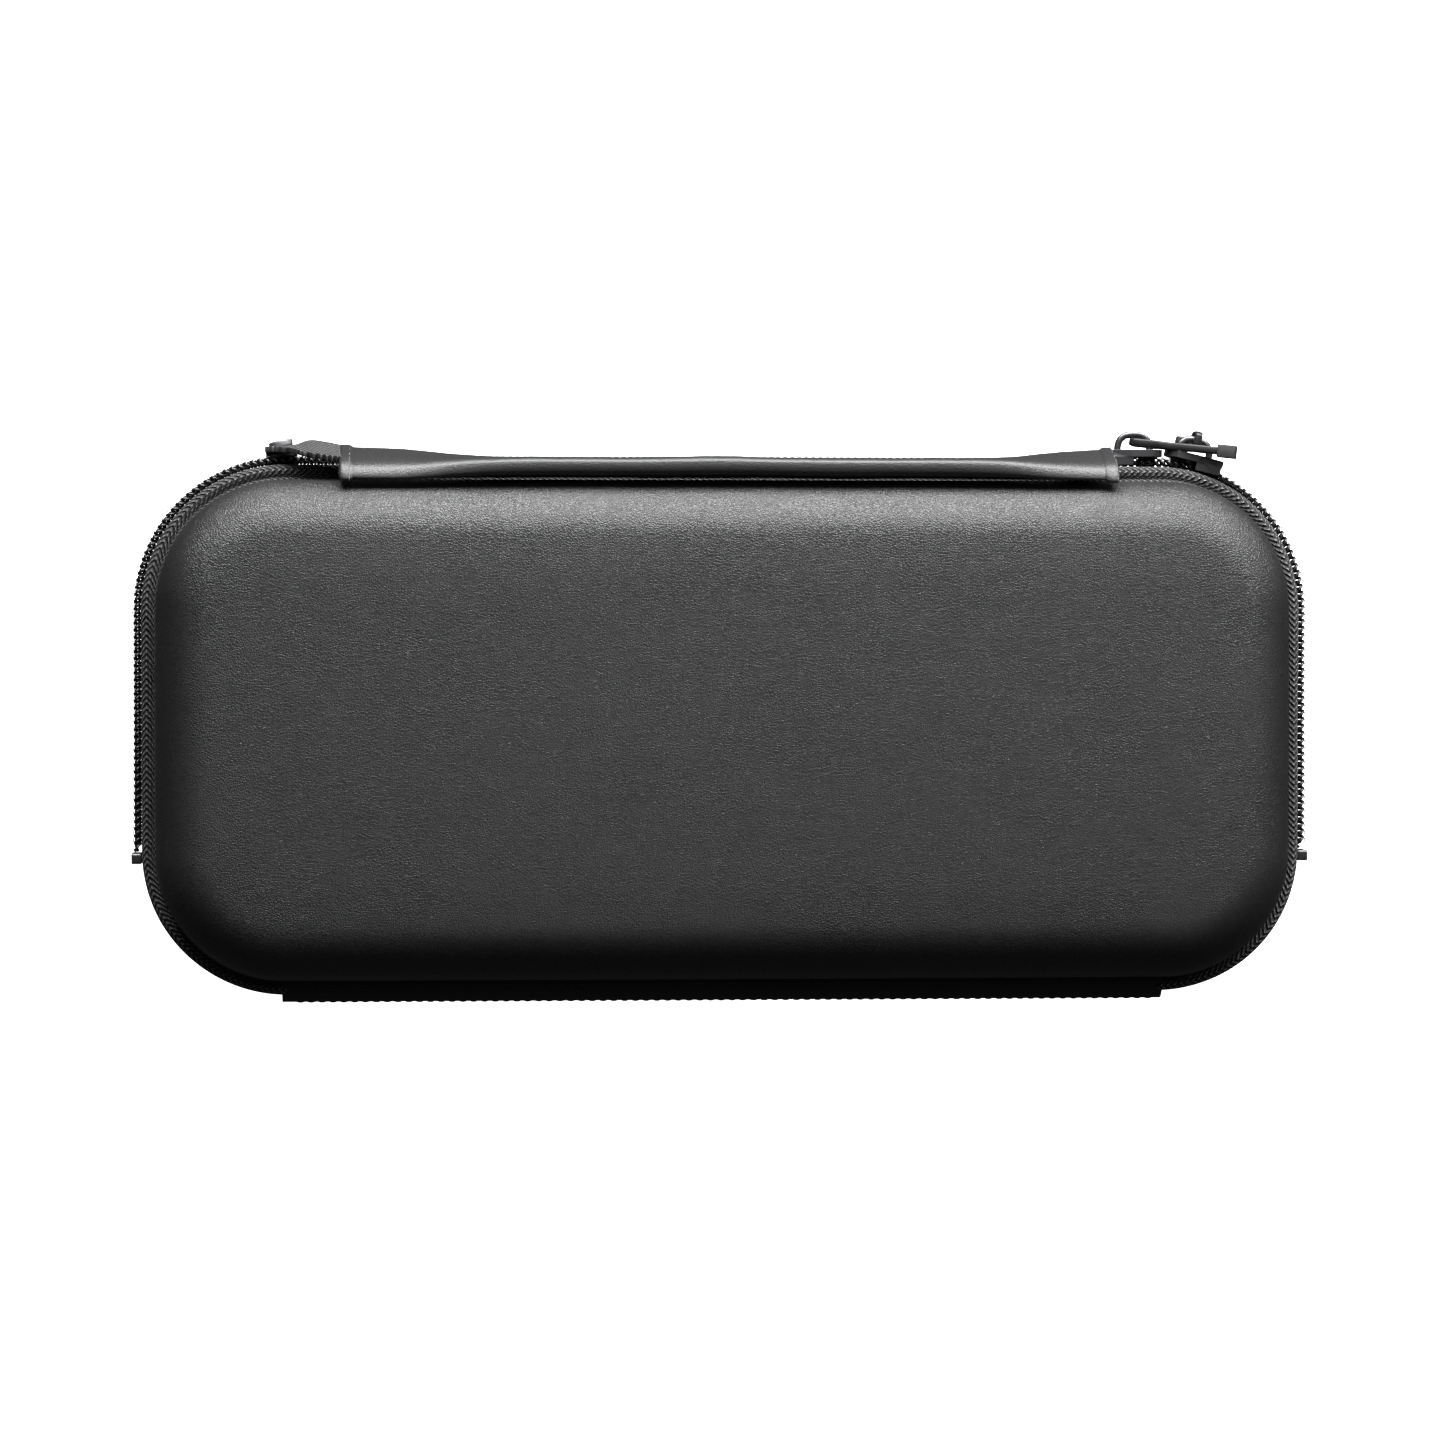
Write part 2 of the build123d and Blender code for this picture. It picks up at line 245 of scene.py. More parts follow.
def wear_group():
    """Fine handling marks: short scratches and dull patches on a hard finish."""
    group, start, end = new_group(
        "Handling marks",
        [("Vector", "NodeSocketVector", None)],
    )
    stretched = group.nodes.new("ShaderNodeMapping")
    stretched.inputs["Scale"].default_value = (1.0, 6.0, 6.0)
    group.links.new(start.outputs[0], stretched.inputs["Vector"])
    lines = noise(group, stretched.outputs[0], 900.0, 4.0)
    patch = noise(group, start.outputs[0], 260.0, 2.0)
    group.links.new(lines.outputs["Fac"], end.inputs["Height"])
    marks_and_painted_highlight = mixed(group, lines.outputs["Fac"], 0.4, patch.outputs["Fac"], 0.6)
    group.links.new(marks_and_painted_highlight, end.inputs["Tone and painted light"])
    return group


GROUPS = {"grain": grain_group, "weave": weave_group, "cloth": cloth_group, "wear": wear_group}
BUILT_GROUPS = {}


def shared_group(key):
    """The named effect group, built on first use."""
    if key not in BUILT_GROUPS:
        BUILT_GROUPS[key] = GROUPS[key]()
    return BUILT_GROUPS[key]


def finish_material(
    name, effect, dark, light, rough, bump, distance, group_values=(), coords="Object",
    metallic=0.0, specular=0.5, sheen=0.0,
):
    """A material whose effect group drives colour from dark to light, roughness and bump."""
    material = bpy.data.materials.get(name)
    if material:
        return material
    material = bpy.data.materials.new(name)
    material.use_nodes = True
    tree = material.node_tree
    shader = tree.nodes["Principled BSDF"]
    place = tree.nodes.new("ShaderNodeTexCoord")
    group = tree.nodes.new("ShaderNodeGroup")
    group.node_tree = shared_group(effect)
    tree.links.new(place.outputs[coords], group.inputs["Vector"])
    for label, value in group_values:
        group.inputs[label].default_value = value
    ramp = tree.nodes.new("ShaderNodeValToRGB")
    ramp.color_ramp.elements[0].position = 0.15
    ramp.color_ramp.elements[0].color = (*dark, 1)
    ramp.color_ramp.elements[1].position = 0.85
    ramp.color_ramp.elements[1].color = (*light, 1)
    # The colour follows the group's value, which paints shade into creases and hollows and highlight onto
    # raised threads for the grain, cloth and weave groups.
    tree.links.new(group.outputs["Tone and painted light"], ramp.inputs["Fac"])
    tree.links.new(ramp.outputs["Color"], shader.inputs["Base Color"])
    dullness = tree.nodes.new("ShaderNodeMapRange")
    dullness.inputs["To Min"].default_value = rough[0]
    dullness.inputs["To Max"].default_value = rough[1]
    tree.links.new(group.outputs["Tone and painted light"], dullness.inputs["Value"])
    tree.links.new(dullness.outputs["Result"], shader.inputs["Roughness"])
    relief = tree.nodes.new("ShaderNodeBump")
    relief.inputs["Strength"].default_value = bump
    relief.inputs["Distance"].default_value = distance
    tree.links.new(group.outputs["Height"], relief.inputs["Height"])
    tree.links.new(relief.outputs["Normal"], shader.inputs["Normal"])
    shader.inputs["Metallic"].default_value = metallic
    shader.inputs["Specular IOR Level"].default_value = specular
    shader.inputs["Sheen Weight"].default_value = sheen
    return material


def grey(value):
    return (value, value, value * 1.03)


def shade_of(colour, factor):
    return tuple(channel * factor for channel in colour)


def leather():
    colour = settings().leather
    # Skin colour made darker in the grain's creases: painted shade, over random unevenness.
    return finish_material(
        "shell leather", "grain", shade_of(colour, 0.7), shade_of(colour, 1.25), (0.44, 0.34), 0.5, 0.00014,
        [("Cells per metre", 2000.0)],
    )


def strap_leather():
    colour = settings().leather
    # Strap colour made darker in the grain's creases: painted shade, over random unevenness.
    return finish_material(
        "strap leather", "grain", shade_of(colour, 0.8), shade_of(colour, 1.35), (0.46, 0.36), 0.3, 0.0001,
        [("Cells per metre", 1700.0)],
    )


def zip_tape_cloth():
    colour = settings().tape
    # Dark to light spans eighty times the tape colour: the raised threads carry a strong painted highlight.
    return finish_material(
        "herringbone tape", "weave", shade_of(colour, 0.1), shade_of(colour, 8.0), (0.8, 0.3), 1.0, 0.0006,
        [("Pitch", 0.00125), ("Band", 0.0017)], coords="UV", sheen=0.05,
    )


def spine_cloth():
    # Raised threads painted lighter: painted highlight on the hinge cloth.
    return finish_material(
        "hinge cloth", "weave", grey(0.006), grey(0.022), (0.8, 0.6), 0.6, 0.00012,
        [("Pitch", 0.0006), ("Band", 0.0009)], coords="UV", sheen=0.05,
    )


def webbing_cloth():
    # Ribs painted from near black to light grey: painted highlight on the ribs.
    return finish_material(
        "ribbed webbing", "weave", grey(0.002), grey(0.2), (0.8, 0.4), 1.0, 0.0008,
        [("Pitch", 0.0012), ("Band", 0.02)], coords="UV", sheen=0.05,
    )


def nylon():
    return finish_material(
        "nylon coil", "wear", grey(0.010), grey(0.02), (0.16, 0.26), 0.05, 0.00002, specular=0.8
    )


def thread():
    # Hollows between loops painted darker: painted shade, with random patchy colour.
    return finish_material(
        "sewing thread", "cloth", grey(0.015), grey(0.07), (0.6, 0.45), 0.4, 0.00006,
        [("Loops per metre", 5000.0)], sheen=0.1,
    )


def hardware():
    colour = settings().metal
    return finish_material(
        "black plated hardware", "wear", shade_of(colour, 0.8), shade_of(colour, 1.7), (0.22, 0.38),
        0.12, 0.00003, metallic=0.85,
    )


def gunmetal():
    return finish_material(
        "gunmetal rivet", "wear", grey(0.14), grey(0.24), (0.5, 0.62), 0.1, 0.00003, metallic=0.9
    )


def pull_coating():
    return finish_material(
        "pull coating", "wear", grey(0.008), grey(0.018), (0.3, 0.4), 0.1, 0.00003, specular=0.3
    )


def tip_moulding():
    return finish_material(
        "pull tip", "wear", grey(0.02), grey(0.04), (0.4, 0.55), 0.1, 0.00003, specular=0.35
    )


def lining_cloth():
    # Hollows between loops painted darker: painted shade, with random patchy colour.
    return finish_material(
        "brushed lining", "cloth", grey(0.010), grey(0.032), (0.95, 0.8), 0.7, 0.0003,
        [("Loops per metre", 1100.0)], sheen=0.25,
    )


def foam():
    # Hollows between loops painted darker: painted shade, with random patchy colour.
    return finish_material(
        "moulded foam", "cloth", grey(0.02), grey(0.045), (0.95, 0.85), 0.5, 0.0003,
        [("Loops per metre", 1600.0)],
    )


def binding_cloth():
    # Hollows between loops painted darker: painted shade, with random patchy colour.
    return finish_material(
        "woven binding", "cloth", grey(0.010), grey(0.04), (0.85, 0.7), 0.6, 0.0002,
        [("Loops per metre", 2200.0)], sheen=0.15,
    )


def paint(piece, material):
    """Give a piece this material on every face."""
    piece.data.materials.clear()
    piece.data.materials.append(material)


def dress(piece, degrees, material, nodes=(), body=None):
    """Smooth and paint a piece, hide the CAD nodes it stands for, and hang it on the body it rides on."""
    smooth(piece, degrees)
    paint(piece, material)
    if nodes:
        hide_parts(*nodes)
    if body:
        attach(piece, body)


# ---------------------------------------------------------------- mesh helpers
def only(piece):
    """Make one object the selected and active one."""
    bpy.ops.object.select_all(action="DESELECT")
    piece.select_set(True)
    bpy.context.view_layer.objects.active = piece


def apply_modifiers(piece):
    only(piece)
    for modifier in list(piece.modifiers):
        bpy.ops.object.modifier_apply(modifier=modifier.name)


def settle(piece):
    """Put the piece's place into its mesh and turn its faces outwards."""
    only(piece)
    bpy.ops.object.transform_apply(location=True, rotation=True, scale=True)
    bpy.ops.object.mode_set(mode="EDIT")
    bpy.ops.mesh.select_all(action="SELECT")
    bpy.ops.mesh.normals_make_consistent(inside=False)
    bpy.ops.object.mode_set(mode="OBJECT")


def smooth(piece, degrees=40):
    only(piece)
    bpy.ops.object.shade_smooth_by_angle(angle=math.radians(degrees))


def pick(piece, kind, test):
    """In edit mode, select only the edges or faces that pass the test."""
    bpy.ops.mesh.select_mode(type=kind)
    bpy.ops.mesh.select_all(action="DESELECT")
    mesh = bmesh.from_edit_mesh(piece.data)
    for element in mesh.edges if kind == "EDGE" else mesh.faces:
        if test(element):
            element.select_set(True)
    bmesh.update_edit_mesh(piece.data)


def mesh_piece(name, points, faces, uvs=None):
    """A mesh object from points and faces, with a UV for each point where given."""
    data = bpy.data.meshes.new(name)
    data.from_pydata([tuple(p) for p in points], [], faces)
    if uvs:
        layer = data.uv_layers.new(name="cloth")
        for loop in data.loops:
            layer.data[loop.index].uv = uvs[loop.vertex_index]
    piece = bpy.data.objects.new(name, data)
    bpy.context.scene.collection.objects.link(piece)
    return piece


def grid_piece(name, rows, wrap=False):
    """A surface through rows of points; its UV is the distance along and across, in metres."""
    count = len(rows[0])
    points, uvs, along = [], [], 0.0
    for index, row in enumerate(rows):
        if index:
            along += sum((a - b).length for a, b in zip(row, rows[index - 1])) / count
        across = 0.0
        for place, point in enumerate(row):
            if place:
                across += (point - row[place - 1]).length
            points.append(point)
            uvs.append((along, across))
    faces = []
    for index in range(len(rows) - 1):
        for place in range(count if wrap else count - 1):
            following = (place + 1) % count
            a, b = index * count + place, index * count + following
            faces.append((a, b, b + count, a + count))
    return mesh_piece(name, points, faces, uvs)


def thicken(piece, thickness, offset=0.0):
    modifier = piece.modifiers.new("thickness", "SOLIDIFY")
    modifier.thickness = thickness
    modifier.offset = offset
    modifier.use_even_offset = True
    apply_modifiers(piece)


def break_edges(piece, width, segments, degrees):
    """Bevel every edge sharper than the given angle."""
    modifier = piece.modifiers.new("edges", "BEVEL")
    modifier.width = width
    modifier.segments = segments
    modifier.limit_method = "ANGLE"
    modifier.angle_limit = math.radians(degrees)
    apply_modifiers(piece)


def tube_faces(first, rings, sides):
    """Side and end faces of a tube whose rings of points start at index first."""
    faces = []
    for row in range(rings - 1):
        for place in range(sides):
            a, b = first + row * sides + place, first + row * sides + (place + 1) % sides
            faces.append((a, b, b + sides, a + sides))
    last = first + (rings - 1) * sides
    faces.append(tuple(first + place for place in range(sides - 1, -1, -1)))
    faces.append(tuple(last + place for place in range(sides)))
    return faces


def along_zip(distance, reference):
    """Wall point, outward direction and heading at a distance round the case.

    The distance is measured along a line that is reference outside the wall. It starts where the back edge
    meets the +X hinge corner, and runs round the front to the other hinge corner.
    """
    turn = (CORNER_R + reference) * math.pi / 2
    legs = [
        (TURN_X, TURN_Y, 90, turn), (0, -2 * TURN_Y, 0, 2 * TURN_Y),
        (TURN_X, -TURN_Y, 0, turn), (-2 * TURN_X, 0, -90, 2 * TURN_X),
        (-TURN_X, -TURN_Y, -90, turn), (0, 2 * TURN_Y, -180, 2 * TURN_Y),
        (-TURN_X, TURN_Y, -180, turn),
    ]
    for index, (x, y, degrees, size) in enumerate(legs):
        if distance > size and index < len(legs) - 1:
            distance -= size
            continue
        share = distance / size
        if index % 2 == 0:
            angle = math.radians(degrees - 90 * share)
            out = Vector((math.cos(angle), math.sin(angle), 0))
            return Vector((x, y, 0)) + out * CORNER_R, out, Vector((out.y, -out.x, 0))
        angle = math.radians(degrees)
        out = Vector((math.cos(angle), math.sin(angle), 0))
        heading = Vector((x, y, 0)).normalized()
        corner = Vector((legs[index - 1][0], legs[index - 1][1], 0)) + out * CORNER_R
        return corner + Vector((x, y, 0)) * share, out, heading


def zip_length(reference):
    return 4 * (CORNER_R + reference) * math.pi / 2 + 4 * TURN_Y + 2 * TURN_X


def corner_length(reference):
    return (CORNER_R + reference) * math.pi / 2


def ease(value):
    value = min(max(value, 0.0), 1.0)
    return value * value * (3 - 2 * value)


def refined(name, node, material, body, bevel):
    """A clean copy of a CAD node with its edges broken, standing in for it."""
    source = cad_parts[node]
    piece = bpy.data.objects.new(name, source.data.copy())
    bpy.context.scene.collection.objects.link(piece)
    only(piece)
    bpy.ops.object.mode_set(mode="EDIT")
    bpy.ops.mesh.select_all(action="SELECT")
    bpy.ops.mesh.remove_doubles(threshold=0.00001)
    bpy.ops.mesh.dissolve_limited(angle_limit=math.radians(2))
    bpy.ops.mesh.normals_make_consistent(inside=False)
    bpy.ops.object.mode_set(mode="OBJECT")
    if bevel:
        break_edges(piece, bevel, 2, 35)
    dress(piece, 35, material, (node,), body)
    return piece


# a stitch's rings: how far along it, how thick, how high over the cloth
STITCH_RINGS = ((-1, 0.35, -0.5), (-0.55, 0.9, 0.1), (0.0, 1.0, 0.3), (0.55, 0.9, 0.1), (1, 0.35, -0.5))


def stitch_row(name, seats, size, body=None):
    """Small rounded stitches; each seat is (centre, direction, outward)."""
    long_half, wide, high = size
    points, faces = [], []
    ring = [(math.cos(a * math.tau / 6), math.sin(a * math.tau / 6)) for a in range(6)]
    for centre, direction, outward in seats:
        direction, outward = direction.normalized(), outward.normalized()
        side = direction.cross(outward)
        first = len(points)
        for step, scale, lift in STITCH_RINGS:
            middle = centre + direction * (long_half * step) + outward * (high * lift)
            for across, up in ring:
                points.append(middle + side * (wide * scale * across) + outward * (high * scale * up))
        faces += tube_faces(first, len(STITCH_RINGS), len(ring))
    piece = mesh_piece(name, points, faces)
    settle(piece)
    dress(piece, 80, thread(), body=body)
    return piece


def around(path_profile, reference, start, end, step=1.0 * MM):
    """Rows of a profile carried round the case; the profile gives (outward, height) pairs."""
    count = max(2, int(round((end - start) / step)))
    rows = []
    for index in range(count + 1):
        distance = start + (end - start) * index / count
        wall, out, _ = along_zip(distance, reference)
        row = []
        for outward, height in path_profile(distance):
            point = wall + out * outward
            row.append(Vector((point.x, point.y, MID_Z + height)))
        rows.append(row)
    return rows


def curve_through(points, steps):
    """Smooth curve through tuples of numbers, the same number of steps between each pair."""
    made = []
    for index in range(len(points) - 1):
        before = points[max(index - 1, 0)]
        first, second = points[index], points[index + 1]
        after = points[min(index + 2, len(points) - 1)]
        for step in range(steps):
            t = step / steps
            made.append(tuple(
                0.5 * (
                    2 * b + (c - a) * t + (2 * a - 5 * b + 4 * c - d) * t * t
                    + (3 * b - a - 3 * c + d) * t ** 3
                )
                for a, b, c, d in zip(before, first, second, after)
            ))
    made.append(tuple(points[-1]))
    return made


def ripple(distance, size, *waves):
    """A small smooth unevenness along a length, from sines that don't repeat together."""
    total = sum(math.sin(distance * wave + index * 1.7) for index, wave in enumerate(waves))
    return size * total / len(waves)


# ---------------------------------------------------------------- shells
# each step in from the face's edge, and how far the face rises over it
CROWN = ((3 * MM, 0.1 * MM), (4 * MM, 0.1 * MM), (4 * MM, 0.0))


def build_shell(name, node, body, side):
    """A pressed shell: a block with rounded corners and face edge, opened at the rim and given thickness."""
    low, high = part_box(node)
    face_z = high.z if side > 0 else low.z
    rim_z = low.z if side > 0 else high.z
    bpy.ops.object.select_all(action="DESELECT")
    bpy.ops.mesh.primitive_cube_add(size=1, location=(low + high) / 2)
    piece = bpy.context.active_object
    piece.name = name
    piece.scale = high - low
    bpy.ops.object.transform_apply(location=True, rotation=True, scale=True)
    bpy.ops.object.mode_set(mode="EDIT")
    near = 0.02 * MM
    pick(piece, "EDGE", lambda e: abs(e.verts[0].co.z - e.verts[1].co.z) > near)
    bpy.ops.mesh.bevel(offset=CORNER_R, segments=14, affect="EDGES")
    pick(piece, "EDGE", lambda e: all(abs(v.co.z - face_z) < near for v in e.verts))
    bpy.ops.mesh.bevel(offset=settings().edge_radius, segments=9, affect="EDGES")
    pick(piece, "FACE", lambda f: all(abs(v.co.z - rim_z) < near for v in f.verts))
    bpy.ops.mesh.delete(type="ONLY_FACE")
    for inset, rise in CROWN:
        pick(piece, "FACE", lambda f: f.normal.z * side > 0.99 and f.calc_area() > 0.002)
        bpy.ops.mesh.inset(thickness=inset, depth=rise)
    bpy.ops.object.mode_set(mode="OBJECT")
    settle(piece)
    thicken(piece, settings().skin, -1.0)
    soften = piece.modifiers.new("soften", "SUBSURF")
    soften.levels = 2
    apply_modifiers(piece)
    dress(piece, 60, leather(), (node,), body)


# ---------------------------------------------------------------- zip
COIL_OUT = 4.0 * MM
COIL_MIDDLE = 1.25 * MM
COIL_HALF = 1.62 * MM
COIL_THICK = 0.56 * MM


# out from the wall and up from the zip's middle (mm)
TAPE_SHAPE = (
    (-4.25, 5.65), (-2.5, 5.65), (-0.6, 5.6), (0.0, 5.1), (0.45, 4.5), (0.9, 4.6), (1.4, 5.0),
    (1.9, 5.05), (2.4, 4.7), (2.8, 4.0), (2.88, 3.1), (2.86, 2.0), (2.85, 1.05),
)


def build_tape(name, node, body, side):
    """Woven tape from inside the shell's rim, out over the edge and down to the coil."""
    def profile(distance):
        wave = ripple(distance, 0.14 * MM, 95.0, 210.0, 37.0)
        rows = []
        for outward, height in TAPE_SHAPE:
            loose = ease(outward / 1.5) * ease((height - 1.2) / 2.5)
            rows.append((outward * MM + wave * loose * 0.5, side * (height * MM + wave * loose)))
        return rows

    piece = grid_piece(name, around(profile, 0.0, 0.0, zip_length(0.0)))
    thicken(piece, 0.5 * MM)
    settle(piece)
    dress(piece, 60, zip_tape_cloth(), (node,), body)


def build_coil(name, node, body, side):
    """A nylon wire wound flat along the tape's edge; its loops reach between the other half's loops."""
    pitch, wire = settings().zip_pitch, settings().wire
    start = corner_length(COIL_OUT)
    loops = int((zip_length(COIL_OUT) - 2 * start) / pitch)
    per_loop, ring = 10, 6
    shift = 0.0 if side > 0 else 0.5
    centres, frames = [], []
    for index in range(loops * per_loop + 1):
        turn = index / per_loop
        angle = math.tau * turn
        # the wire crosses the middle straight, then steps on to the next loop along the back
        advance = math.floor(turn) + ease((turn % 1.0 - 0.25) * 2.0)
        wall, out, heading = along_zip(start + (advance + shift) * pitch, COIL_OUT)
        point = wall + out * (COIL_OUT + COIL_THICK * math.sin(angle))
        height = COIL_MIDDLE - COIL_HALF * math.cos(angle) * (1.0 + 0.08 * math.cos(angle))
        centres.append(Vector((point.x, point.y, MID_Z + side * height)))
        frames.append((out, heading))
    points = []
    for index, centre in enumerate(centres):
        ahead = centres[min(index + 1, len(centres) - 1)] - centres[max(index - 1, 0)]
        ahead.normalize()
        across = frames[index][1] - ahead * ahead.dot(frames[index][1])
        across.normalize()
        third = ahead.cross(across)
        for place in range(ring):
            angle = math.tau * place / ring
            points.append(centre + (across * math.cos(angle) + third * math.sin(angle)) * wire)
    piece = mesh_piece(name, points, tube_faces(0, len(centres), ring))
    settle(piece)
    dress(piece, 80, nylon(), (node,), body)
    seats = []
    height = Vector((0, 0, MID_Z + side * 1.95 * MM))
    for index in range(loops):
        wall, out, heading = along_zip(start + (index + 0.5 + shift) * pitch, COIL_OUT)
        seats.append((wall + out * (COIL_OUT + 0.86 * MM) + height, heading, out))
    stitch_row(name + "_stitches", seats, (0.55 * MM, 0.13 * MM, 0.12 * MM), body)


# ---------------------------------------------------------------- hinge strip
# out from the back wall and away from the zip's middle (mm)
COVER_SHAPE = (
    (-4.1, 5.55), (-2.0, 5.55), (-0.3, 5.55), (0.6, 5.4), (1.6, 4.9), (2.7, 4.2), (3.6, 3.4), (4.2, 2.5),
    (4.42, 1.6), (4.46, 0.8),
)
LINING_SHAPE = ((-4.5, 4.75), (-2.0, 4.72), (0.3, 4.6), (1.6, 3.7), (2.8, 2.4), (3.18, 1.2))
STITCH_STEP = 2.2 * MM


def hinge_profile(half, crest):
    """The whole (y, z) profile of a hinge strip from its lower half and how far out its crest is."""
    profile = [(HALF_W + u * MM, MID_Z - w * MM) for u, w in half] + [(HALF_W + crest * MM, MID_Z)]
    return profile + [(HALF_W + u * MM, MID_Z + w * MM) for u, w in reversed(half)]


def strip_rows(profile, half_length, step=2 * MM):
    """Rows of a (y, z) profile carried along X."""
    count = int(round(2 * half_length / step))
    rows = []
    for index in range(count + 1):
        x = -half_length + 2 * half_length * index / count
        rows.append([Vector((x, y, z)) for y, z in profile])
    return rows


def build_hinge_cover():
    """One strip of cloth from the base's rim round the crest to the lid's rim, with its edge stitches."""
    piece = grid_piece("hinge_cover", strip_rows(hinge_profile(COVER_SHAPE, 4.47), TURN_X + 1.0 * MM))
    thicken(piece, 0.6 * MM)
    settle(piece)
    dress(piece, 60, spine_cloth(), ("base_spine_strip", "lid_spine_strip"))
    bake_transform(piece)
    seats = []
    for side in (-1, 1):
        for outward, height, lean_out in ((4.72, 1.9, 0.95), (1.05, 5.55, 0.35)):
            outwards = Vector((0, lean_out, side * math.sqrt(1 - lean_out ** 2)))
            for index in range(int(2 * TURN_X / STITCH_STEP)):
                x = -TURN_X + (index + 0.7) * STITCH_STEP
                centre = Vector((x, HALF_W + outward * MM, MID_Z + side * height * MM))
                seats.append((centre, Vector((1, 0, 0)), outwards))
    rows = stitch_row("hinge_stitches", seats, (0.75 * MM, 0.13 * MM, 0.12 * MM))
    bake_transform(rows)


def build_hinge_lining():
    """The strip of lining cloth behind the hinge."""
    piece = grid_piece("hinge_lining", strip_rows(hinge_profile(LINING_SHAPE, 3.2), TURN_X))
    thicken(piece, 0.5 * MM)
    settle(piece)
    dress(piece, 60, lining_cloth(), ("base_spine_lining", "lid_spine_lining"))
    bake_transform(piece)


# ---------------------------------------------------------------- handle
STRAP_LINE = (
    # along X, out from the wall, height, lean in degrees, thickness, width (mm)
    (78.1, 3.3, 32.5, 23.0, 3.9, 10.8), (74.0, 3.1, 32.6, 22.0, 4.2, 11.2), (64.0, 2.9, 32.6, 19.0, 4.3, 11.2),
    (50.0, 2.45, 32.9, 5.0, 4.2, 11.0), (34.0, 2.35, 33.0, 0.5, 4.1, 11.0), (0.0, 2.35, 33.0, 0.0, 4.1, 11.0),
    (-34.0, 2.35, 33.0, 0.0, 4.1, 11.0), (-54.0, 2.4, 33.0, 3.0, 4.2, 11.0),
    (-66.0, 2.8, 32.7, 15.0, 4.3, 11.1), (-75.0, 3.05, 32.6, 21.0, 4.2, 11.2),
    (-79.2, 3.1, 32.6, 22.0, 4.0, 10.9),
)


def strap_section(station, grow=0.0, sides=32):
    """Rounded outline of the strap at a station, softer on its top edge."""
    x, outward, height, lean, thick, wide = station
    turn = math.radians(lean)
    across = Vector((0, -math.cos(turn), -math.sin(turn)))
    upward = Vector((0, math.sin(turn), math.cos(turn)))
    centre = Vector((x * MM, -HALF_W - outward * MM, height * MM))
    ring = []
    for index in range(sides):
        angle = math.tau * index / sides
        sine, cosine = math.sin(angle), math.cos(angle)
        reach = math.copysign(abs(cosine) ** 0.62, cosine) * (thick / 2 + grow) * MM
        rise = math.copysign(abs(sine) ** 0.5, sine) * (wide / 2 + grow) * MM
        ring.append(centre + across * reach + upward * rise)
    return ring


def cap_ends(piece):
    """Close the open ends of a tube."""
    only(piece)
    bpy.ops.object.mode_set(mode="EDIT")
    pick(piece, "EDGE", lambda e: e.is_boundary)
    bpy.ops.mesh.edge_face_add()
    bpy.ops.object.mode_set(mode="OBJECT")


def build_sleeve():
    """Padded leather sleeve, full in the middle and leaned back at both ends, with a soft crease."""
    rows = []
    stations = curve_through(STRAP_LINE, 14)
    for x, outward, height, lean, thick, wide in stations:
        crease = math.exp(-((x - 2.0) / 9.0) ** 2)
        thick += ripple(x, 0.1, 0.21, 0.47, 0.93) + 0.16 * crease
        wide += ripple(x, 0.12, 0.17, 0.39)
        outward += ripple(x, 0.1, 0.05, 0.13) + 0.12 * crease
        rows.append(strap_section((x, outward, height, lean, thick, wide)))
    piece = grid_piece("handle_sleeve_padded", rows, wrap=True)
    cap_ends(piece)
    settle(piece)
    dress(piece, 55, strap_leather(), ("handle_sleeve", "handle_filler"), "handle")
    seats = []
    seam_place = 27
    for index in range(4, len(stations) - 4):
        near, following = (strap_section(stations[index + step], 0.02)[seam_place] for step in (0, 1))
        seats.append(((near + following) / 2, following - near, Vector((0, -0.8, -0.6))))
    stitch_row("handle_seam", seats, (0.55 * MM, 0.14 * MM, 0.12 * MM), "handle")


def build_hem(name, first, last):
    """Folded leather band over one end of the sleeve, with a row of stitches beside its edge."""
    stations = curve_through(STRAP_LINE, 40)
    inside = [s for s in stations if min(first, last) - 0.2 <= s[0] <= max(first, last) + 0.2]
    rows, count = [], len(inside) - 1
    for index, station in enumerate(inside):
        share = index / count
        bulge = 0.62 * (1 - abs(2 * share - 1) ** 3.2)
        rows.append(strap_section(station, bulge - 0.05))
    piece = grid_piece(name, rows, wrap=True)
    cap_ends(piece)
    settle(piece)
    dress(piece, 55, strap_leather(), body="handle")
    ring = strap_section(inside[int(count * 0.8)], 0.5, sides=26)
    centre = sum(ring, Vector()) / len(ring)
    seats = []
    for index, point in enumerate(ring):
        following = ring[(index + 1) % len(ring)]
        seats.append(((point + following) / 2, following - point, (point + following) / 2 - centre))
    stitch_row(name + "_stitches", seats, (0.5 * MM, 0.16 * MM, 0.14 * MM), "handle")
    return piece


def webbing_between(name, inner, outer, nodes):
    """A ribbon of ribbed webbing between two edges.

    Each edge is a list of (x, outward, height) in mm.
    """
    edges = [curve_through(edge, 10) for edge in (inner, outer)]
    rows = []
    for first, second in zip(*edges):
        start = Vector((first[0] * MM, -HALF_W - first[1] * MM, first[2] * MM))
        end = Vector((second[0] * MM, -HALF_W - second[1] * MM, second[2] * MM))
        rows.append([start.lerp(end, place / 8) for place in range(9)])
    piece = grid_piece(name, rows)
    thicken(piece, settings().web_thick)
    settle(piece)
    break_edges(piece, 0.3 * MM, 2, 60)
    dress(piece, 60, webbing_cloth(), nodes)
    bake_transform(piece)


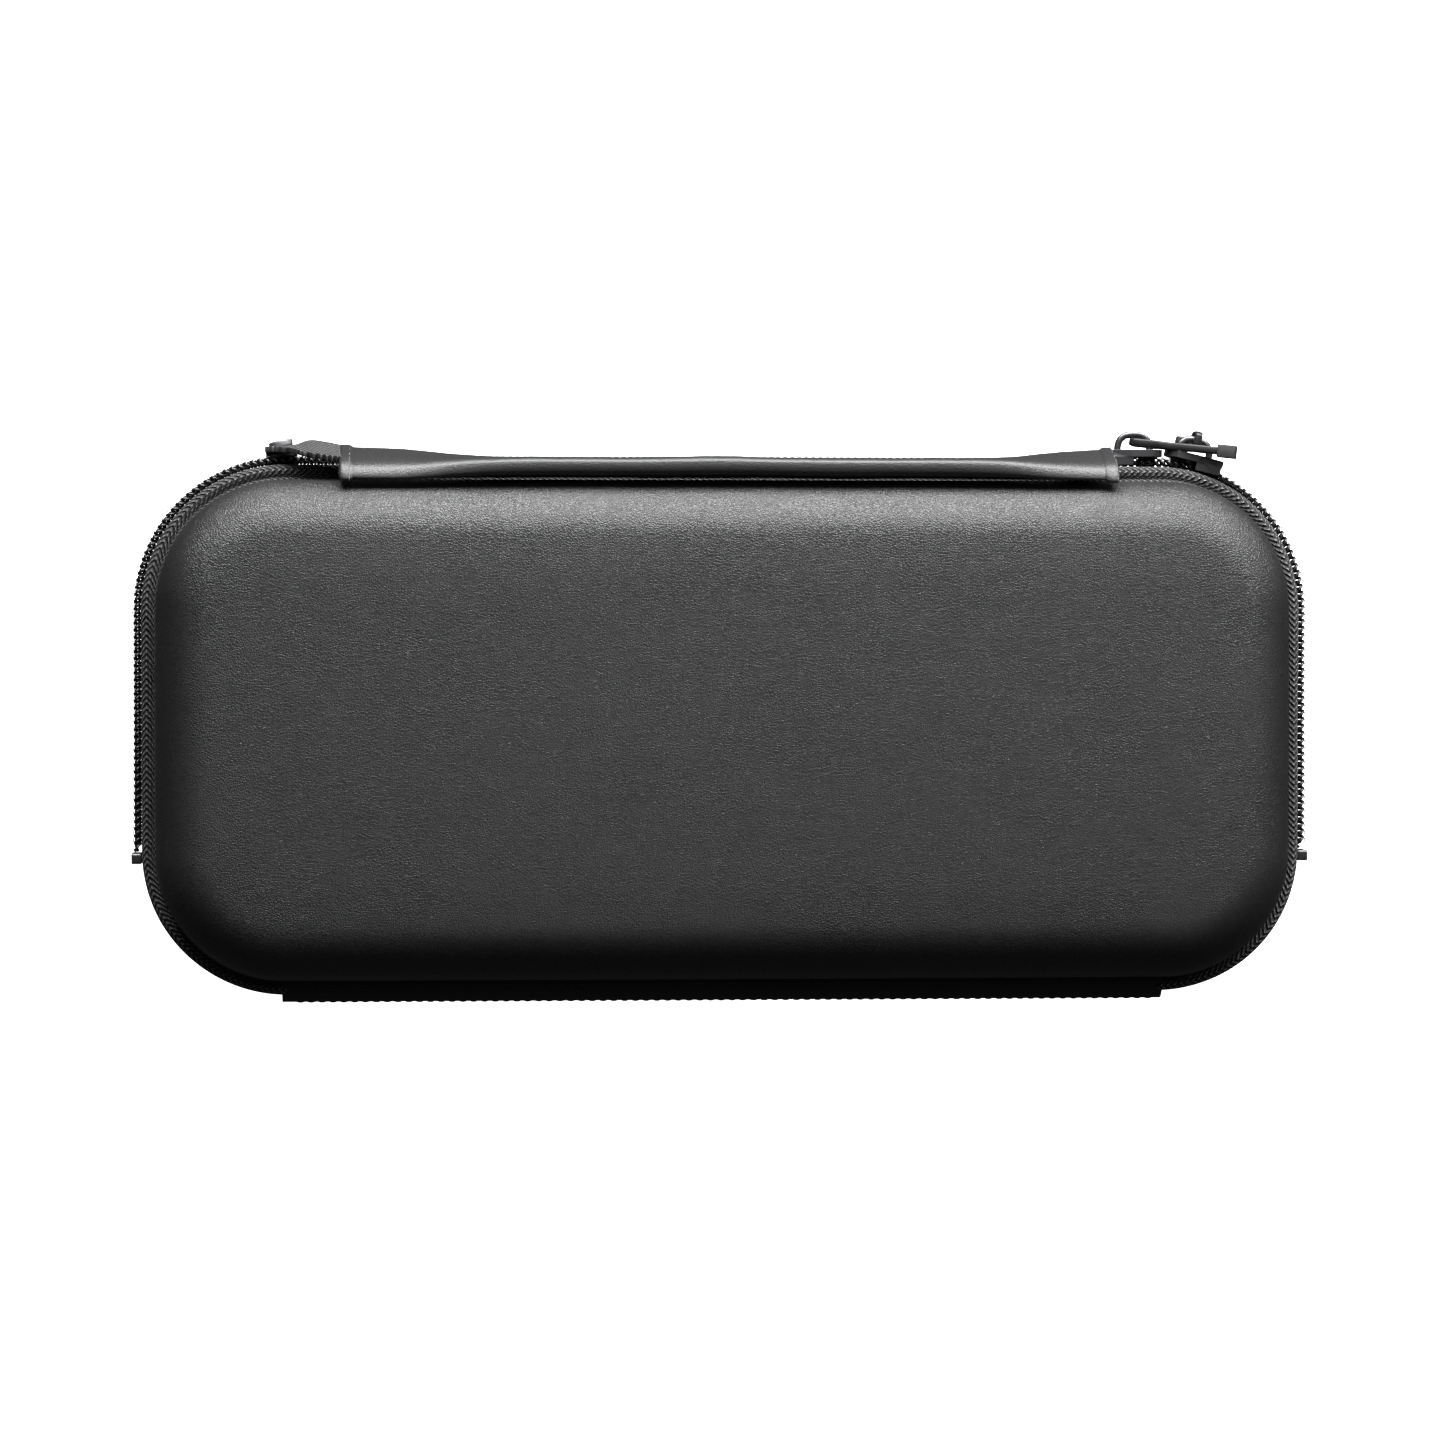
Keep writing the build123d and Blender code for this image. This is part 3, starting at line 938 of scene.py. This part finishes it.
def build_webbing():
    """The two ends of the strap, from the sleeve down into the base's seam; the near one passes the rivet."""
    root = ((6.2, 20.9), (6.25, 17.4), (4.2, 15.5), (0.7, 14.3), (0.6, 11.2))
    inner = [(75.5, 6.0, 27.4), (80.5, 7.1, 25.8), (83.8, 7.6, 24.6), (85.8, 7.1, 23.5), (86.8, 6.4, 22.3)]
    outer = [(75.5, 3.4, 34.6), (80.5, 4.1, 33.8), (84.8, 4.8, 32.0), (88.0, 5.7, 28.6), (92.0, 6.2, 24.5)]
    inner += [(87.0, u, z) for u, z in root]
    outer += [(93.4, u, z) for u, z in root]
    webbing_between("webbing_near", inner, outer, ("handle_webbing", "anchor_tabs"))
    drop = ((3.0, 30.5), (4.2, 28.0), (5.1, 26.8), (5.5, 25.2), (5.6, 23.2))
    close = tuple((min(u, 5.6), z) for u, z in root)
    inner = [(-77.0, u, z) for u, z in drop + close]
    outer = [(-69.0, u, z) for u, z in drop + close]
    webbing_between("webbing_far", inner, outer, ("handle_far_tail",))


def build_rivet(name, x, lean):
    """Double-cap rivet: two domed caps on a shank, through the webbing."""
    centre = Vector((x * MM, -HALF_W - 6.35 * MM, 19.2 * MM))
    caps = []
    for offset, depth, facing in ((1.15, 1.3, 1), (-1.1, 1.0, -1)):
        bpy.ops.object.select_all(action="DESELECT")
        bpy.ops.mesh.primitive_cylinder_add(vertices=40, radius=2.45 * MM, depth=depth * MM)
        cap = bpy.context.active_object
        bpy.ops.object.mode_set(mode="EDIT")
        pick(cap, "FACE", lambda f: len(f.verts) > 8)
        bpy.ops.mesh.bevel(offset=0.28 * MM, segments=4, affect="EDGES")
        pick(cap, "FACE", lambda f: len(f.verts) > 8 and f.normal.z * facing > 0.9)
        bpy.ops.mesh.inset(thickness=0.7 * MM, depth=0.1 * MM)
        bpy.ops.mesh.inset(thickness=0.8 * MM, depth=0.05 * MM)
        bpy.ops.object.mode_set(mode="OBJECT")
        bpy.ops.transform.translate(value=(0, 0, offset * MM))
        bpy.ops.object.transform_apply(location=True, rotation=True, scale=True)
        caps.append(cap)
    bpy.ops.object.select_all(action="DESELECT")
    bpy.ops.mesh.primitive_cylinder_add(vertices=20, radius=0.9 * MM, depth=2.4 * MM)
    caps.append(bpy.context.active_object)
    for cap in caps:
        cap.select_set(True)
    bpy.context.view_layer.objects.active = caps[0]
    bpy.ops.object.join()
    piece = bpy.context.active_object
    piece.name = name
    piece.rotation_euler = (math.radians(90), 0, math.radians(lean))
    piece.location = centre
    settle(piece)
    dress(piece, 35, gunmetal(), ("handle_rivet",), "base")


# ---------------------------------------------------------------- sliders
# heights out from the wall (mm)
BRIDGE_TOP = 10.35
BRIDGE_BAR = 1.15
PLATE_TOP = 6.6
# each slider's x and y on the wall (mm), and how far round the corner it is turned (degrees)
SEATS = {"a": (-84.6, -50.7, 0.0), "b": (-95.3385, -49.9218, 14.0)}


def slider_frame(letter):
    """Where a slider sits on the wall, which way is out, and which way it runs."""
    x, y, turn = SEATS[letter]
    angle = math.radians(-90 - turn)
    out = Vector((math.cos(angle), math.sin(angle), 0))
    return Vector((x * MM, y * MM, MID_Z)), out, Vector((-out.y, out.x, 0))


def build_slider(letter):
    """A slider: its plates with broken edges, and a round bridge for the pull to hang on."""
    seat, out, along = slider_frame(letter)
    plates = refined(
        f"zip_slider_{letter}", f"slider_{letter}", hardware(), f"slider_{letter}", 0
    )
    only(plates)
    bpy.ops.object.mode_set(mode="EDIT")
    bpy.ops.mesh.select_mode(type="VERT")
    bpy.ops.mesh.select_all(action="DESELECT")
    mesh = bmesh.from_edit_mesh(plates.data)
    for vertex in mesh.verts:
        if (vertex.co - seat).dot(out) > (PLATE_TOP + 0.05) * MM:
            vertex.select_set(True)
    bmesh.update_edit_mesh(plates.data)
    bpy.ops.mesh.delete(type="VERT")
    bpy.ops.object.mode_set(mode="OBJECT")
    break_edges(plates, 0.3 * MM, 3, 35)
    smooth(plates, 35)
    rows = []
    half_span, foot = 3.35, PLATE_TOP - 0.5
    rise = BRIDGE_TOP - 0.55 - foot
    for index in range(25):
        t = math.pi * index / 24
        reach = math.copysign(abs(math.cos(t)) ** 0.7, math.cos(t)) * half_span
        height = foot + rise * math.sin(t) ** 0.75
        middle = seat + along * (reach * MM) + out * (height * MM)
        facing = (along * (math.cos(t) / half_span) + out * (math.sin(t) / rise)).normalized()
        row = []
        for place in range(12):
            a = math.tau * place / 12
            thick = math.copysign(abs(math.cos(a)) ** 0.7, math.cos(a)) * 0.72 * MM
            wide = math.copysign(abs(math.sin(a)) ** 0.7, math.sin(a)) * 0.95 * MM
            row.append(middle + facing * thick + Vector((0, 0, wide)))
        rows.append(row)
    bridge = grid_piece(f"slider_bridge_{letter}", rows, wrap=True)
    settle(bridge)
    dress(bridge, 60, hardware(), body=f"slider_{letter}")


def narrow_ring(piece):
    """Draw the hanging pull's ring in towards the bridge bar that it hangs on."""
    seat, out, _ = slider_frame("b")
    bar = BRIDGE_TOP * MM - BRIDGE_BAR * MM / 2
    for vertex in piece.data.vertices:
        vertex.co -= out * (((vertex.co - seat).dot(out) - bar) * 0.38)


def fatten(piece, amount):
    """Push the piece's faces outwards, for the thickness of its coating."""
    modifier = piece.modifiers.new("coating", "DISPLACE")
    modifier.strength = amount
    modifier.mid_level = 0.0
    apply_modifiers(piece)


def swing_in(pieces, degrees):
    """Turn a resting pull a little towards the case, about its eye."""
    eye = Vector((-84.6, -58.9, 0)) * MM
    rotation = Matrix.Rotation(math.radians(-degrees), 4, "Z")
    turn = Matrix.Translation(eye) @ rotation @ Matrix.Translation(-eye)
    for piece in pieces:
        piece.data.transform(turn)


# ---------------------------------------------------------------- pocket net
def net_material():
    """Open knitted net: strands on two slants with holes between them."""
    material = bpy.data.materials.new("open net")
    material.use_nodes = True
    tree = material.node_tree
    shader = tree.nodes["Principled BSDF"]
    place = tree.nodes.new("ShaderNodeTexCoord")
    split = tree.nodes.new("ShaderNodeSeparateXYZ")
    tree.links.new(place.outputs["UV"], split.inputs[0])
    strands = []
    for slope in (0.62, -0.62):
        slant = math_node(tree, "MULTIPLY_ADD", split.outputs[1], slope, split.outputs[0])
        wave = math_node(tree, "SINE", math_node(tree, "MULTIPLY", slant, math.pi / (1.7 * MM)))
        strands.append(math_node(tree, "ABSOLUTE", wave))
    gap = math_node(tree, "MINIMUM", strands[0], strands[1])
    strand = math_node(tree, "SUBTRACT", 1.0, gap)
    open_mask = math_node(tree, "GREATER_THAN", strand, 0.62)
    tree.links.new(open_mask, shader.inputs["Alpha"])
    relief = tree.nodes.new("ShaderNodeBump")
    relief.inputs["Distance"].default_value = 0.0003
    tree.links.new(strand, relief.inputs["Height"])
    tree.links.new(relief.outputs["Normal"], shader.inputs["Normal"])
    # The strands' colour follows their height, lighter along the middle and darker at the edges: painted
    # shading on round strands.
    ramp = tree.nodes.new("ShaderNodeValToRGB")
    ramp.color_ramp.elements[0].color = (0.008, 0.008, 0.008, 1)
    ramp.color_ramp.elements[1].color = (0.035, 0.035, 0.036, 1)
    tree.links.new(strand, ramp.inputs["Fac"])
    tree.links.new(ramp.outputs["Color"], shader.inputs["Base Color"])
    shader.inputs["Roughness"].default_value = 0.8
    shader.inputs["Sheen Weight"].default_value = 0.1
    return material


def build_pocket():
    """Stretched net under the lid's lining, held by its edging and a ribbed elastic along its mouth."""
    low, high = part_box("mesh_pocket")
    long_side, short_side = high.x - low.x, high.y - low.y
    height = (low.z + high.z) / 2
    steps_along, steps_across = 88, 27
    rows = []
    for index in range(steps_along + 1):
        x = low.x + long_side * index / steps_along
        row = []
        for place in range(steps_across + 1):
            y = low.y + short_side * place / steps_across
            slack = math.cos(math.pi * x / long_side) * math.cos(math.pi * y / short_side)
            row.append(Vector((x, y, height - 0.9 * MM * slack)))
        rows.append(row)
    net = grid_piece("pocket_net", rows)
    dress(net, 60, net_material(), ("mesh_pocket",), "lid")


# ---------------------------------------------------------------- operators
class CASE_OT_shells(bpy.types.Operator):
    """Build the leather skins of the lid and the base, and finish the foam under them"""

    bl_idname = "case.shells"
    bl_label = "Shells"
    bl_options = {"REGISTER", "UNDO"}

    def execute(self, context):
        build_shell("lid_shell", "lid_skin", "lid", 1)
        build_shell("base_shell", "base_skin", "base", -1)
        for node in ("lid_core", "base_core"):
            paint(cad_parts[node], foam())
        return {"FINISHED"}


class CASE_OT_zip(bpy.types.Operator):
    """Build both halves of the zip: woven tapes, wound coils and end stops"""

    bl_idname = "case.zip"
    bl_label = "Zip"
    bl_options = {"REGISTER", "UNDO"}

    def execute(self, context):
        for body, side in (("lid", 1), ("base", -1)):
            build_tape(body + "_tape", body + "_zip_tape", body, side)
            build_coil(body + "_coil", body + "_zip_coil", body, side)
            refined(body + "_stops", body + "_end_stops", hardware(), body, 0.12 * MM)
        return {"FINISHED"}


class CASE_OT_hinge(bpy.types.Operator):
    """Build the cloth hinge along the back and the lining strip behind it"""

    bl_idname = "case.hinge"
    bl_label = "Hinge strip"
    bl_options = {"REGISTER", "UNDO"}

    def execute(self, context):
        build_hinge_cover()
        build_hinge_lining()
        return {"FINISHED"}


class CASE_OT_handle(bpy.types.Operator):
    """Build the padded strap with its hems, webbing ends and rivet"""

    bl_idname = "case.handle"
    bl_label = "Handle"
    bl_options = {"REGISTER", "UNDO"}

    def execute(self, context):
        build_sleeve()
        near = build_hem("hem_near", 78.1, 75.2)
        build_hem("hem_far", -79.2, -76.3)
        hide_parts("handle_hems")
        build_webbing()
        build_rivet("rivet", 90.0, 12.0)
        return {"FINISHED"}


class CASE_OT_sliders(bpy.types.Operator):
    """Finish both zip sliders and their pulls"""

    bl_idname = "case.sliders"
    bl_label = "Sliders and pulls"
    bl_options = {"REGISTER", "UNDO"}

    def execute(self, context):
        for letter in "ab":
            build_slider(letter)
            pull = f"pull_{letter}"
            bar = refined(f"pull_bar_{letter}", pull + "_plate", pull_coating(), pull, 0.14 * MM)
            grip = refined(f"pull_grip_{letter}", pull + "_tip", tip_moulding(), pull, 0.3 * MM)
            fatten(bar, 0.22 * MM)
            if letter == "b":
                narrow_ring(bar)
            else:
                swing_in((bar, grip), 3.5)
        return {"FINISHED"}


class CASE_OT_lining(bpy.types.Operator):
    """Finish the inside: linings, bindings and the net pocket"""

    bl_idname = "case.lining"
    bl_label = "Lining and pocket"
    bl_options = {"REGISTER", "UNDO"}

    def execute(self, context):
        for body in ("lid", "base"):
            refined(body + "_cloth", body + "_lining", lining_cloth(), body, 0)
            refined(body + "_piping", body + "_binding", binding_cloth(), body, 0.25 * MM)
        refined("pocket_edging_woven", "pocket_edging", binding_cloth(), "lid", 0.3 * MM)
        refined("pocket_elastic_band", "pocket_elastic", webbing_cloth(), "lid", 0.3 * MM)
        build_pocket()
        return {"FINISHED"}


class CASE_OT_stage(bpy.types.Operator):
    """Set the pale floor, the soft studio lights and the camera above the lid"""

    bl_idname = "case.stage"
    bl_label = "Stage"
    bl_options = {"REGISTER", "UNDO"}

    def execute(self, context):
        build_floor()
        build_lights()
        build_camera()
        context.scene.view_settings.view_transform = "Standard"
        return {"FINISHED"}


# ---------------------------------------------------------------- stage
def build_floor():
    bpy.ops.object.select_all(action="DESELECT")
    bpy.ops.mesh.primitive_plane_add(size=4.0)
    floor = bpy.context.active_object
    floor.name = "floor"
    material = bpy.data.materials.new("pale floor")
    material.use_nodes = True
    shader = material.node_tree.nodes["Principled BSDF"]
    mottle = material.node_tree.nodes.new("ShaderNodeTexNoise")
    mottle.inputs["Scale"].default_value = 3.0
    ramp = material.node_tree.nodes.new("ShaderNodeValToRGB")
    ramp.color_ramp.elements[0].color = (0.94, 0.94, 0.94, 1)
    ramp.color_ramp.elements[1].color = (0.96, 0.96, 0.96, 1)
    material.node_tree.links.new(mottle.outputs["Fac"], ramp.inputs["Fac"])
    material.node_tree.links.new(ramp.outputs["Color"], shader.inputs["Base Color"])
    shader.inputs["Roughness"].default_value = 0.9
    shader.inputs["Emission Color"].default_value = (1, 1, 1, 1)
    shader.inputs["Emission Strength"].default_value = 1.6
    floor.data.materials.append(material)
    floor.visible_diffuse = False
    floor.visible_glossy = False


def area_light(name, place, size, watts):
    """A soft rectangular light aimed at the middle of the case."""
    data = bpy.data.lights.new(name, "AREA")
    data.shape = "RECTANGLE"
    data.size, data.size_y = size
    data.energy = watts
    light = bpy.data.objects.new(name, data)
    bpy.context.scene.collection.objects.link(light)
    light.location = place
    towards = Vector((0, 0, MID_Z)) - Vector(place)
    light.rotation_euler = towards.to_track_quat("-Z", "Y").to_euler()
    return light


def build_lights():
    area_light("key", (-0.08, -0.6, 0.26), (1.0, 0.4), 26.0)
    area_light("overhead", (-0.05, -0.45, 1.0), (0.9, 0.5), 1.8)
    area_light("side", (-0.7, -0.35, 0.25), (0.3, 0.3), 0.8)
    world = bpy.data.worlds.new("studio")
    world.use_nodes = True
    world.node_tree.nodes["Background"].inputs["Color"].default_value = (1, 1, 1, 1)
    world.node_tree.nodes["Background"].inputs["Strength"].default_value = 0.04
    bpy.context.scene.world = world


def build_camera():
    """Camera high above the lid, looking almost straight down, with the handle side upwards."""
    yaw, pitch, distance = math.radians(3.7), math.radians(1.0), 0.9
    target = Vector((0.0007, -0.00185, MID_Z))
    back = Vector((math.sin(yaw), -math.sin(pitch), 0))
    back.z = math.sqrt(1 - back.x ** 2 - back.y ** 2)
    data = bpy.data.cameras.new("camera")
    data.lens, data.sensor_width = 109.8, 36.0
    camera = bpy.data.objects.new("camera", data)
    bpy.context.scene.collection.objects.link(camera)
    right = (-back).cross(Vector((0, -1, 0))).normalized()
    upward = back.cross(right).normalized()
    camera.matrix_world = Matrix((
        (right.x, upward.x, back.x, target.x + back.x * distance),
        (right.y, upward.y, back.y, target.y + back.y * distance),
        (right.z, upward.z, back.z, target.z + back.z * distance),
        (0, 0, 0, 1),
    ))
    data.clip_start, data.clip_end = 0.05, 10.0
    bpy.context.scene.camera = camera


# ---------------------------------------------------------------- panel and registration
STEPS = (
    CASE_OT_shells, CASE_OT_zip, CASE_OT_hinge, CASE_OT_handle, CASE_OT_sliders, CASE_OT_lining, CASE_OT_stage
)


class CASE_PT_panel(bpy.types.Panel):
    """Lists the case's build steps in the sidebar."""

    bl_idname = "CASE_PT_panel"
    bl_label = "Headphone Case"
    bl_space_type = "VIEW_3D"
    bl_region_type = "UI"
    bl_category = "Headphone Case"

    def draw(self, context):
        column = self.layout.column()
        for label in CaseSettings.__annotations__:
            column.prop(context.scene.case_settings, label)
        for step in STEPS:
            column.operator(step.bl_idname)


CLASSES = (CaseSettings, *STEPS, CASE_PT_panel)


def register():
    for each in CLASSES:
        bpy.utils.register_class(each)
    bpy.types.Scene.case_settings = bpy.props.PointerProperty(type=CaseSettings)


def unregister():
    del bpy.types.Scene.case_settings
    for each in reversed(CLASSES):
        bpy.utils.unregister_class(each)


def main():
    register()
    for step in STEPS:
        area, name = step.bl_idname.split(".")
        getattr(getattr(bpy.ops, area), name)()


if __name__ == "__main__":
    main()
